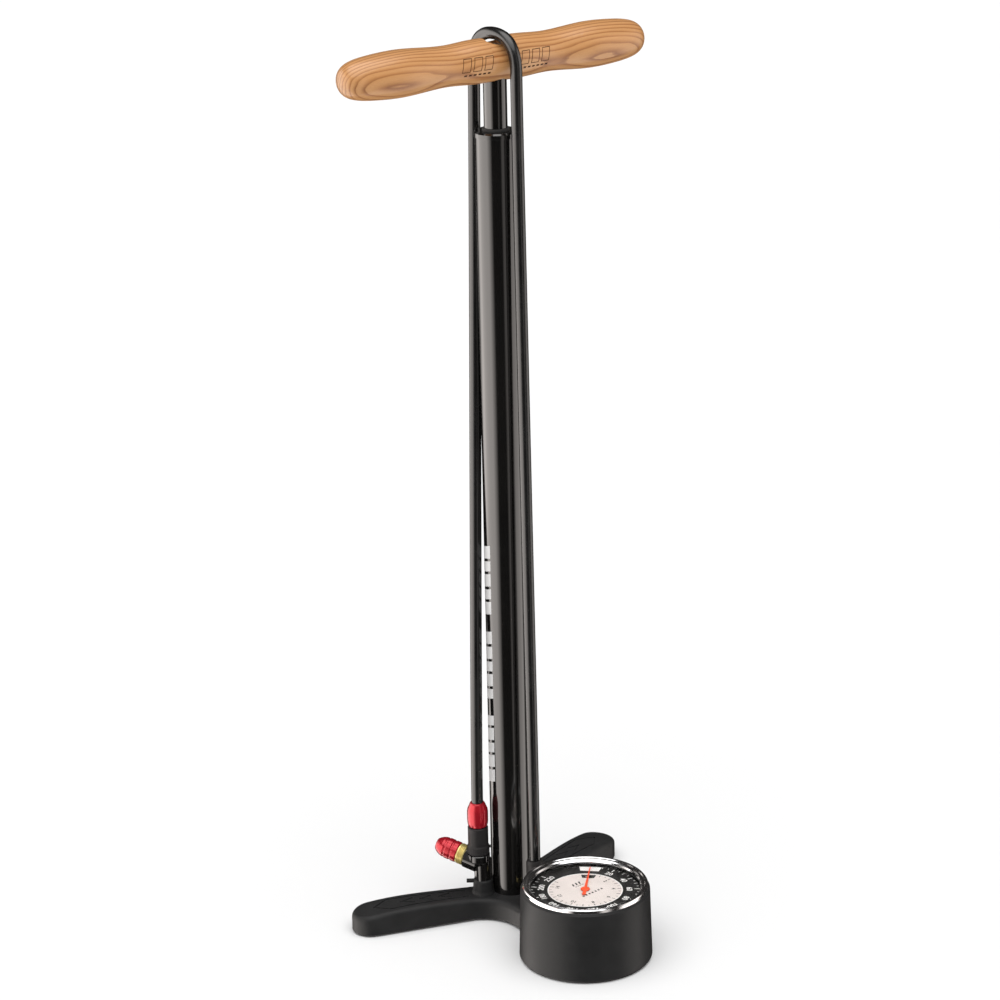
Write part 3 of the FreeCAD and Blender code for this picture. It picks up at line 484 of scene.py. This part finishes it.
MATERIALS = {
    "casting_black": skin_material(
        "powder_coat", (0.0165, 0.0165, 0.0168), (0.023, 0.023, 0.0234), (0.06, 0.06, 0.062),
        (0.40, 0.50), 2600.0, 0.00005, Specular_IOR_Level=0.16),
    "enamel_black": enamel_material(),
    "hose_rubber": skin_material(
        "hose_skin", (0.006, 0.006, 0.006), (0.011, 0.011, 0.011), (0.02, 0.02, 0.02),
        (0.20, 0.30), 1500.0, 0.00001, Coat_Weight=0.25, Coat_Roughness=0.12),
    "rubber_black": skin_material(
        "matt_rubber", (0.018, 0.018, 0.018), (0.03, 0.03, 0.03), (0.05, 0.05, 0.05),
        (0.72, 0.86), 3000.0, 0.00004),
    "steel": turned_material(
        "bright_steel", (0.52, 0.52, 0.51), (0.66, 0.66, 0.64), (0.24, 0.36), UP, Metallic=1.0),
    "chrome_ring": turned_material(
        "bezel_metal", (0.74, 0.74, 0.75), (0.86, 0.86, 0.87), (0.08, 0.16), UP,
        26000.0, 0.000004, Metallic=1.0),
    "brass": turned_material(
        "turned_brass", (0.58, 0.46, 0.15), (0.74, 0.62, 0.25), (0.24, 0.30), ADAPTER_AXIS, Metallic=0.5),
    "red_anodised": turned_material(
        "red_anodising", (0.42, 0.008, 0.018), (0.48, 0.012, 0.024), (0.18, 0.24), UP,
        Metallic=0.35, Specular_IOR_Level=0.3, Coat_Weight=0.3, Coat_Roughness=0.10),
    "black_anodised": turned_material(
        "black_anodising", (0.020, 0.019, 0.019), (0.030, 0.028, 0.028), (0.40, 0.50), UP,
        Metallic=0.1, Specular_IOR_Level=0.15),
    "ash_wood": wood_material(),
    "lens": lens_material(),
    "dial_black": print_material("dial_black_ink", (0.005, 0.005, 0.005), (0.009, 0.009, 0.009)),
    "needle_red": print_material("needle_paint", (0.80, 0.075, 0.022), (0.88, 0.105, 0.034), (0.3, 0.4)),
    "shroud_black": skin_material(
        "moulded_can", (0.0175, 0.0176, 0.0178), (0.021, 0.0211, 0.0214), (0.05, 0.05, 0.052),
        (0.36, 0.44), 3400.0, 0.00002, Specular_IOR_Level=0.14),
    "acetal": skin_material(
        "acetal_white", (0.72, 0.71, 0.67), (0.80, 0.79, 0.76), (0.85, 0.85, 0.83),
        (0.42, 0.52), 2000.0, 0.00001, Subsurface_Weight=0.1),
}
WHITE_INK = print_material("white_ink", (0.78, 0.77, 0.76), (0.86, 0.85, 0.84))
CREAM_INK = print_material("cream_ink", (0.66, 0.595, 0.57), (0.73, 0.665, 0.64))
BLACK_INK = print_material("black_ink", (0.010, 0.010, 0.010), (0.016, 0.016, 0.016))
BURNT_LINE = print_material("burnt_line", (0.035, 0.014, 0.006), (0.075, 0.030, 0.012), (0.6, 0.75))


def dress_nodes():
    """Gives every CAD node the finish of its material slot."""
    slots = {part["node"]: part["material_slot"] for part in frame["record"]["subparts"]}
    for name, piece in nodes.items():
        piece.material_slots[0].material = MATERIALS[slots[name]]


# ---------------------------------------------------------------- dial
# Printed ink stands a little proud of the dial, and the cream disc with its own print a little more
INK = 0.00005
NUMBER_INK = 0.00002
DISC_R = 0.0258
DISC_THICK = 0.00008
DISC_HOLE_R = 0.0036
DISC_LIP = 0.0005
DISC_DISH = 0.00002
DISC_PRINT_Z = DIAL_TOP + 0.00007
RIM_R = 0.00035
RIM_Z = DIAL_TOP + 0.00009
# The outer scale has a tick each 5 psi up to 220, and the inner one each half bar up to 15
OUTER_TICKS_R = 0.0382
OUTER_STEP = 5.0
OUTER_TICKS = 44
OUTER_NUMBERS_R = 0.0308
OUTER_NUMBER = 0.0058
INNER_TICKS_R = DISC_R - 0.0006
INNER_STEP = 0.5
INNER_TICKS = 30
INNER_NUMBERS_R = 0.0197
INNER_NUMBER = 0.0042


def dial_turn(psi):
    """Heading of a pressure on the dial, clockwise from its zero."""
    return DIAL_ZERO - FULL_SCALE * psi / FULL_PSI


def on_dial(heading, z):
    """Matrix that takes a mark made on +Y at the origin to its heading on the dial."""
    return Matrix.Translation((GAUGE_X, GAUGE_Y, z)) @ Matrix.Rotation(heading - math.pi / 2, 4, "Z")


def add_mark(width, length, radius):
    """One printed stroke on +Y with softly rounded corners, its middle at a radius."""
    deselect()
    bpy.ops.mesh.primitive_cube_add(size=1.0)
    mark = bpy.context.object
    mark.scale = (width, length, INK)
    mark.location = (0.0, radius, INK / 2)
    seat(mark)
    apply_modifier(mark, "BEVEL", width=width * 0.2, segments=2, limit_method="ANGLE")
    return mark


def add_ring_of_marks(name, marks, z, material):
    """Strokes round the dial: (heading, width, length, radius) each."""
    made = {}
    pieces = []
    for heading, *size in marks:
        key = tuple(size)
        if key not in made:
            made[key] = add_mark(*size)
        pieces.append(twin(made[key], on_dial(heading, z)))
    for master in made.values():
        bpy.data.objects.remove(master)
    finished(joined(pieces), name, material, "base")


def add_numeral(text, size, radius, heading, z):
    """A number on the dial, its head outwards."""
    deselect()
    bpy.ops.object.text_add()
    word = bpy.context.object
    word.data.body = text
    word.data.size = size
    word.data.extrude = NUMBER_INK
    word.data.align_x = "CENTER"
    word.data.align_y = "CENTER"
    word.data.resolution_u = 3
    word.data.offset = size * 0.014
    bpy.ops.object.convert(target="MESH")
    return moved(bpy.context.object, on_dial(heading, z) @ Matrix.Translation((0.0, radius, NUMBER_INK)))


def add_cream_disc():
    """Thin cream disc in the middle of the dial, dished inside its lip."""
    deselect()
    bpy.ops.mesh.primitive_cylinder_add(vertices=144, radius=DISC_R, depth=DISC_THICK)
    disc = bpy.context.object
    bpy.ops.object.mode_set(mode="EDIT")
    bpy.ops.mesh.select_all(action="DESELECT")
    bpy.ops.object.mode_set(mode="OBJECT")
    for face in disc.data.polygons:
        face.select = face.normal.z > 0.9
    bpy.ops.object.mode_set(mode="EDIT")
    bpy.ops.mesh.select_mode(type="FACE")
    bpy.ops.mesh.inset(thickness=DISC_LIP)
    bpy.ops.transform.translate(value=(0.0, 0.0, -DISC_DISH))
    bpy.ops.mesh.inset(thickness=DISC_R - DISC_LIP - DISC_HOLE_R)
    bpy.ops.object.mode_set(mode="OBJECT")
    disc.location = (GAUGE_X, GAUGE_Y, DIAL_TOP + DISC_THICK / 2)
    seat(disc)
    finished(disc, "dial_cream_disc", CREAM_INK, "base")


def add_disc_rim():
    """Flattened white ring round the cream disc."""
    deselect()
    bpy.ops.mesh.primitive_torus_add(
        major_radius=DISC_R + 0.0002, minor_radius=RIM_R, major_segments=144, minor_segments=10)
    rim = bpy.context.object
    rim.scale.z = 0.45
    rim.location = (GAUGE_X, GAUGE_Y, RIM_Z)
    seat(rim)
    bpy.ops.object.shade_smooth()
    finished(rim, "dial_disc_rim", WHITE_INK, "base")


def add_ticks():
    """White pressure ticks round the dial and black ones round the disc, the main ones longer."""
    outer = []
    for step in range(1, OUTER_TICKS + 1):
        numbered = step % 4 == 0
        length = 0.0038 if numbered else 0.0026 if step % 2 == 0 else 0.0016
        width = 0.0007 if numbered else 0.00045
        outer.append((dial_turn(step * OUTER_STEP), width, length, OUTER_TICKS_R - length / 2))
    add_ring_of_marks("dial_white_ticks", outer, DIAL_TOP, WHITE_INK)
    inner = []
    for step in range(1, INNER_TICKS + 1):
        whole = step % 2 == 0
        length = 0.0027 if whole else 0.0018
        width = 0.0005 if whole else 0.00032
        heading = dial_turn(step * INNER_STEP * PSI_PER_BAR)
        inner.append((heading, width, length, INNER_TICKS_R - length / 2))
    add_ring_of_marks("dial_black_ticks", inner, DISC_PRINT_Z, BLACK_INK)


def add_numbers():
    """Pressures in twenties round the dial, and in twos on the disc."""
    whites = []
    for number in range(20, 221, 20):
        whites.append(add_numeral(str(number), OUTER_NUMBER, OUTER_NUMBERS_R, dial_turn(number), DIAL_TOP))
    finished(joined(whites), "dial_white_numbers", WHITE_INK, "base")
    blacks = []
    for number in range(2, 15, 2):
        heading = dial_turn(number * PSI_PER_BAR)
        blacks.append(add_numeral(str(number), INNER_NUMBER, INNER_NUMBERS_R, heading, DISC_PRINT_Z))
    finished(joined(blacks), "dial_black_numbers", BLACK_INK, "base")


def add_zero_blocks():
    """White block on the outer scale at zero and a black one beneath it on the disc."""
    for name, radius, length, spread, z, ink in (
        ("dial_zero_white", 0.0340, 0.0064, 0.0146, DIAL_TOP, WHITE_INK),
        ("dial_zero_black", 0.0217, 0.0048, 0.0096, DISC_PRINT_Z, BLACK_INK),
    ):
        deselect()
        bpy.ops.mesh.primitive_cube_add(size=1.0)
        block = bpy.context.object
        block.scale = (spread, length, INK)
        block.location = (0.0, radius, INK / 2)
        seat(block)
        for vertex in block.data.vertices:
            vertex.co.x *= vertex.co.y / radius
        apply_modifier(block, "BEVEL", width=0.00012, segments=2, limit_method="ANGLE")
        moved(block, on_dial(DIAL_ZERO, z))
        finished(block, name, ink, "base")


def add_disc_motif():
    """Rows of plain slanted strokes and dashes printed on the disc."""
    strokes = []
    for n in range(7):
        strokes.append((0.0029 * (n - 3), 0.0, 0.0013, 0.0019, math.radians(-14)))
    for n in range(3):
        strokes.append((-0.0020 + 0.0030 * n, 0.0176, 0.0012, 0.0036, math.radians(-26)))
    for n in range(4):
        strokes.append((-0.0022 + 0.0021 * n, 0.0143, 0.0014, 0.0007, 0.0))
    pieces = []
    for x, y, width, length, lean in strokes:
        place = Matrix.Translation((x, y, 0.0)) @ Matrix.Rotation(lean, 4, "Z")
        pieces.append(moved(add_mark(width, length, 0.0), place))
    motif = joined(pieces)
    middle = Matrix.Translation((GAUGE_X + 0.0019, GAUGE_Y - 0.0062, DISC_PRINT_Z))
    moved(motif, middle @ Matrix.Rotation(math.radians(7.6), 4, "Z"))
    finished(motif, "dial_motif", BLACK_INK, "base")


def add_dial_face():
    """Cream disc with its rim, and the scales, numbers and marks printed on and round it."""
    add_cream_disc()
    add_disc_rim()
    add_ticks()
    add_numbers()
    add_zero_blocks()
    add_disc_motif()


# ---------------------------------------------------------------- barrel and handle graphics
BARS_HEADING = math.radians(169.5)
BARS_TOP = 0.2816
BAR_WIDTH = 0.0118
BAR_HEIGHT = 0.0092
BAR_RISE = 0.28
BAR_GAP = 0.0021
BAR_GROUP_GAP = 0.0110
# Heights of the bars in each group, as shares of a full bar
BAR_GROUPS = ((1.0, 0.8, 1.0, 0.8, 1.0), (1.0, 1.0, 0.8, 1.0, 0.8), (0.8, 1.0, 0.8, 1.0, 1.0))
PAINT = 0.00004
BURN = 0.00003
MOTIF_BARS_X = (-0.0310, -0.0225, -0.0140, 0.0152, 0.0237, 0.0322)
MOTIF_BAR = (0.0064, 0.0092, 0.0018)
MOTIF_BAR_Z = 0.0012
MOTIF_LINE = 0.00042
MOTIF_DASH = (0.0022, 0.0011, 0.0003)
MOTIF_DASH_STEP = 0.0036
MOTIF_DASH_Z = -0.0056
MOTIF_TILT = math.radians(6)


def slanted_bar(width, height, slant, across, along):
    """Flat grid in the XZ plane, leaning by its slant, with many small faces to follow a curve."""
    deselect()
    bpy.ops.mesh.primitive_grid_add(x_subdivisions=across, y_subdivisions=along, size=1.0)
    bar = bpy.context.object
    bar.scale = (width, height, 1.0)
    bar.rotation_euler = (math.pi / 2, 0.0, 0.0)
    seat(bar)
    for vertex in bar.data.vertices:
        vertex.co.x += slant * vertex.co.z / height
    return bar


def add_barrel_bars():
    """Column of white slanted bars low on the barrel, in three groups of five."""
    bars = []
    z = BARS_TOP
    for group in BAR_GROUPS:
        for share in group:
            height = BAR_HEIGHT * share
            bar = slanted_bar(BAR_WIDTH, height, 0.0, 24, 3)
            for vertex in bar.data.vertices:
                vertex.co.z += BAR_RISE * vertex.co.x
            around = Matrix.Rotation(BARS_HEADING + math.pi / 2, 4, "Z")
            place = Matrix.Translation((BARREL_X, BARREL_Y, z - height / 2)) @ around
            bars.append(moved(bar, place @ Matrix.Translation((0.0, -BARREL_R - 0.0007, 0.0))))
            z -= height + BAR_GAP
        z -= BAR_GROUP_GAP
    bars = joined(bars)
    apply_modifier(bars, "SHRINKWRAP", target=nodes["barrel_tube"], wrap_method="NEAREST_SURFACEPOINT",
                   wrap_mode="ABOVE_SURFACE", offset=PAINT)
    apply_modifier(bars, "SOLIDIFY", thickness=PAINT, offset=1.0)
    bpy.ops.object.shade_smooth_by_angle(angle=math.radians(40))
    finished(bars, "barrel_bars", WHITE_INK, "base")


def outlined(bar, line):
    """Leaves only a line of this width round the edge of a flat grid."""
    only(bar)
    bpy.ops.object.mode_set(mode="EDIT")
    bpy.ops.mesh.select_all(action="SELECT")
    bpy.ops.mesh.inset(thickness=line, use_boundary=True, use_even_offset=True)
    bpy.ops.mesh.delete(type="FACE")
    bpy.ops.object.mode_set(mode="OBJECT")
    return bar


def add_handle_motif():
    """Outlined slanted bars burnt into the front of the handle, with a row of dashes below."""
    pieces = []
    for x in MOTIF_BARS_X:
        bar = outlined(slanted_bar(*MOTIF_BAR, 14, 16), MOTIF_LINE)
        pieces.append(moved(bar, Matrix.Translation((x, 0.0, MOTIF_BAR_Z))))
    # dashes on both sides of the hose's groove
    for start, count in ((-0.0318, 6), (0.0150, 6)):
        for n in range(count):
            dash = slanted_bar(*MOTIF_DASH, 5, 3)
            pieces.append(moved(dash, Matrix.Translation((start + n * MOTIF_DASH_STEP, 0.0, MOTIF_DASH_Z))))
    motif = joined(pieces)
    front = Matrix.Translation((0.0, BARREL_Y - 0.02, HANDLE_Z))
    moved(motif, front @ Matrix.Rotation(MOTIF_TILT, 4, "X"))
    apply_modifier(motif, "SHRINKWRAP", target=nodes["handle"], wrap_method="PROJECT", use_project_y=True,
                   use_positive_direction=True, use_negative_direction=False,
                   wrap_mode="ABOVE_SURFACE", offset=BURN)
    apply_modifier(motif, "SOLIDIFY", thickness=BURN, offset=1.0)
    finished(motif, "handle_motif", BURNT_LINE, "plunger")


# ---------------------------------------------------------------- studio
# Tall cards that shiny pieces see round the pump. Each has the headings it starts and stops at,
# in degrees from the camera's side, its brightness and the width of its soft edges in degrees.
CARDS = [(-128.0, -38.0, 3.6, 28.0), (27.0, 44.0, 0.7, 8.0), (68.0, 112.0, 1.9, 12.0)]
BACKDROP_GLOW = 0.03
OVERHEAD_GLOW = 1.3
GLOW_TINT = (1.0, 0.935, 0.89)
FILL = 0.34
FLOOR_SIZE = 60.0
SUN_ENERGY = 2.75
SUN_ANGLE = math.radians(80)
SUN_TILT = (math.radians(14), math.radians(-12), 0.0)


def card_light(tree, heading, start, stop, brightness, soft):
    """Brightness of one upright card by heading, fading in and out over its soft edges."""
    rise = remap(tree, heading, start - soft / 2, start + soft / 2)
    fall = remap(tree, heading, stop - soft / 2, stop + soft / 2, 1.0, 0.0)
    return maths(tree, "MULTIPLY", maths(tree, "MULTIPLY", rise, fall), brightness)


def make_tent_group():
    """Light tent by direction: tall cards beside the pump and a soft box above it."""
    group, start, end = new_group("light_tent", [("Vector", (0, 0, 0))], ["Glow"])
    turn = node(group, "ShaderNodeVectorRotate", rotation_type="Z_AXIS")
    turn.inputs["Angle"].default_value = -math.radians(CAMERA_HEADING)
    group.links.new(start.outputs["Vector"], turn.inputs["Vector"])
    split = node(group, "ShaderNodeSeparateXYZ")
    group.links.new(turn.outputs[0], split.inputs[0])
    heading = maths(group, "DEGREES", maths(group, "ARCTAN2", split.outputs["Y"], split.outputs["X"]))
    glow = None
    for card in CARDS:
        light = card_light(group, heading, *card)
        glow = light if glow is None else maths(group, "ADD", glow, light)
    low = remap(group, split.outputs["Z"], 0.35, 0.6, 1.0, 0.0)
    high = remap(group, split.outputs["Z"], 0.80, 0.92, 0.0, OVERHEAD_GLOW)
    sides = maths(group, "MULTIPLY", glow, low)
    total = maths(group, "ADD", maths(group, "ADD", sides, high), BACKDROP_GLOW)
    group.links.new(total, end.inputs["Glow"])
    return group


def add_world():
    """White backdrop, even fill light, and the light tent for shiny pieces."""
    world = bpy.data.worlds.new("studio")
    bpy.context.scene.world = world
    world.use_nodes = True
    world.cycles.sampling_method = "NONE"
    tree = world.node_tree
    background = tree.nodes["Background"]
    path = node(tree, "ShaderNodeLightPath")
    direction = node(tree, "ShaderNodeTexCoord").outputs["Generated"]
    tent = placed(tree, make_tent_group(), Vector=direction)
    seen = maths(tree, "MULTIPLY", path.outputs["Is Glossy Ray"], tent.outputs["Glow"])
    fill = maths(tree, "MAXIMUM", path.outputs["Is Diffuse Ray"], path.outputs["Is Transmission Ray"])
    light = maths(tree, "MULTIPLY_ADD", fill, FILL, seen)
    tree.links.new(maths(tree, "ADD", light, path.outputs["Is Camera Ray"]), background.inputs["Strength"])
    tint = blended(tree, path.outputs["Is Glossy Ray"], (1.0, 1.0, 1.0), GLOW_TINT)
    tree.links.new(tint, background.inputs["Color"])


def add_studio():
    """White sweep and a soft overhead sun."""
    deselect()
    bpy.ops.mesh.primitive_plane_add(size=FLOOR_SIZE)
    floor = bpy.context.object
    floor.name = "studio_floor"
    material, tree, shader = start_material("studio_floor", Roughness=0.9, Specular_IOR_Level=0.1)
    grain = placed(tree, GRAIN, Vector=object_place(tree), Scale=40.0)
    white = two_tone(tree, grain.outputs["Mottle"], (0.88, 0.88, 0.88), (0.9, 0.9, 0.9))
    tree.links.new(white, shader.inputs["Base Color"])
    floor.data.materials.append(material)
    floor.visible_glossy = False
    sun_data = bpy.data.lights.new("overhead", "SUN")
    sun_data.energy = SUN_ENERGY
    sun_data.angle = SUN_ANGLE
    sun = bpy.data.objects.new("overhead", sun_data)
    bpy.context.scene.collection.objects.link(sun)
    sun.rotation_euler = SUN_TILT
    add_world()
    bpy.context.scene.view_settings.view_transform = "Standard"


add_camera()
add_hose(MATERIALS["hose_rubber"])
dress_nodes()
add_dial_face()
add_barrel_bars()
add_handle_motif()
add_studio()
